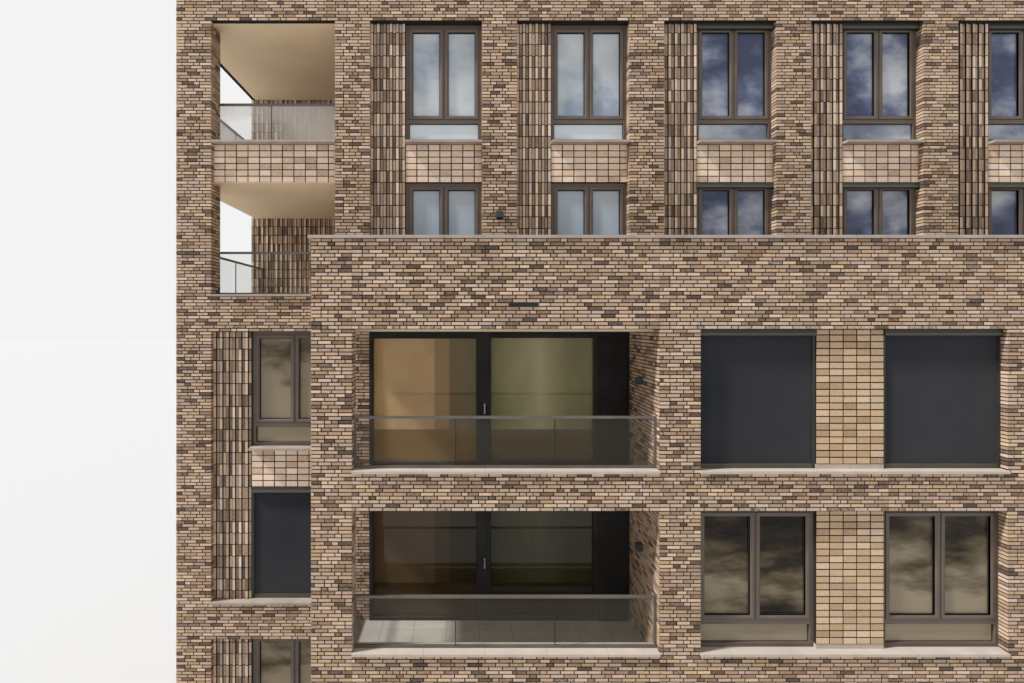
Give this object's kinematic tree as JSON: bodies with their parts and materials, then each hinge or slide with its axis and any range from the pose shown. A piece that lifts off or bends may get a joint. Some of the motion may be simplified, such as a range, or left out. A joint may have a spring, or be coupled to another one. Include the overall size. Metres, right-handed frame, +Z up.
{
  "type": "apartment block",
  "caption": "Brick apartment block with a projecting front volume, roof terrace, recessed loggias and ribbed brick window strips.",
  "frame": {"origin": "centre of the block's bounding box, at ground level", "axes": "+X to the right as seen from the front, +Y from the front to the rear, +Z up"},
  "size_m": [23.592, 14.732, 18.66],
  "materials": {
    "brick": "wire-cut facing brick in mixed tan, beige, brown and purple-grey, raked dark joints",
    "ribbed_brick": "the same brick set upright in ribs",
    "tile": "sandy brick laid with its large face out, in straight columns",
    "pale_stone": "fine grey-pink cast stone",
    "concrete": "plain concrete",
    "roofing": "dark grey roofing sheet",
    "plaster": "beige render",
    "bronze_paint": "bronze-brown satin paint",
    "dark_paint": "near-black satin paint",
    "window_glass": "clear insulating glass",
    "rail_paint": "grey-brown satin paint",
    "rail_glass": "faintly green laminated glass",
    "screen_box_paint": "grey-green satin paint",
    "screen_fabric": "charcoal screen cloth",
    "lamp_paint": "grey satin paint"
  },
  "bodies": {
    "root": {"main_plinth": "brick", "front_plinth": "brick", "corner_piers": "brick", "front_wall_piers": "brick", "front_volume_piers": "brick", "side_wall_piers": "brick", "rear_wall_piers": "brick", "loggia_flank_walls": "brick", "front_bands": "brick", "loggia_side_bands": "brick", "side_bands": "brick", "rear_bands": "brick", "terrace_parapet": "brick", "terrace_parapet_returns": "brick", "roof_parapet": "brick", "roof_parapet_ends": "brick", "terrace_coping": "pale_stone", "roof_coping": "pale_stone", "floor_slabs": "concrete", "front_floor_slabs": "concrete", "roof_slab": "roofing", "loggia_ceilings": "plaster", "corner_loggia_walls": "ribbed_brick", "front_ribbed_strips": "ribbed_brick", "side_ribbed_strips": "ribbed_brick", "rear_ribbed_strips": "ribbed_brick", "front_tile_spandrels": "tile", "side_tile_spandrels": "tile", "rear_tile_spandrels": "tile", "front_tile_panels": "tile", "panel_stones": "pale_stone", "front_sills": "pale_stone", "side_sills": "pale_stone", "rear_sills": "pale_stone", "front_window_frames": "bronze_paint", "side_window_frames": "bronze_paint", "rear_window_frames": "bronze_paint", "front_window_glass": "window_glass", "side_window_glass": "window_glass", "rear_window_glass": "window_glass", "loggia_glazed_walls": "dark_paint", "loggia_glass": "window_glass", "loggia_dark_panels": "dark_paint", "entrance_doors": "bronze_paint", "balustrade_frames": "rail_paint", "balustrade_glass": "rail_glass", "screen_cassettes": "screen_box_paint", "screen_guides": "screen_box_paint", "sun_screens": "screen_fabric", "wall_lamps": "lamp_paint"}
  },
  "joints": []
}
